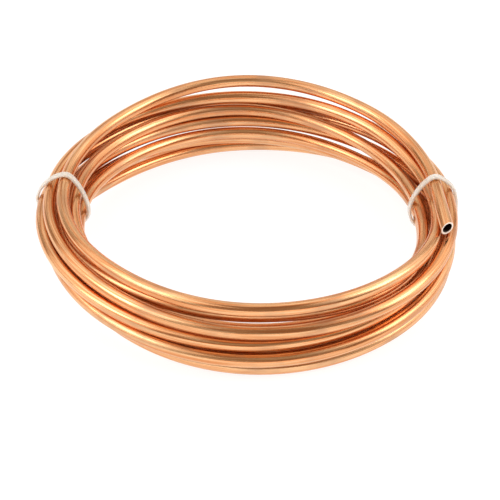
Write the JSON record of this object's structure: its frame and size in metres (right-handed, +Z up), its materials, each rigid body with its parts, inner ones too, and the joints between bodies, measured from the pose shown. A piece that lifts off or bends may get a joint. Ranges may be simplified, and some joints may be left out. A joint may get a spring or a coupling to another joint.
{
  "type": "copper tube coil",
  "caption": "Loose coil of bright soft copper tube, open at both ends, held together by nylon cable ties round the bundle of turns.",
  "frame": {"origin": "on the floor, at the middle of the coil's eye", "axes": "+Z up along the coil's axis, +X from the eye towards the tie by the open end, -Y the way that the open end points"},
  "size_m": [0.2075, 0.2054, 0.0469],
  "materials": {
    "copper": "bright drawn copper, satin, with fine lengthwise streaks",
    "nylon": "natural milky nylon, slightly translucent"
  },
  "bodies": {
    "root": {"tube": "copper", "tie_right": "nylon", "tie_left": "nylon"}
  },
  "joints": []
}
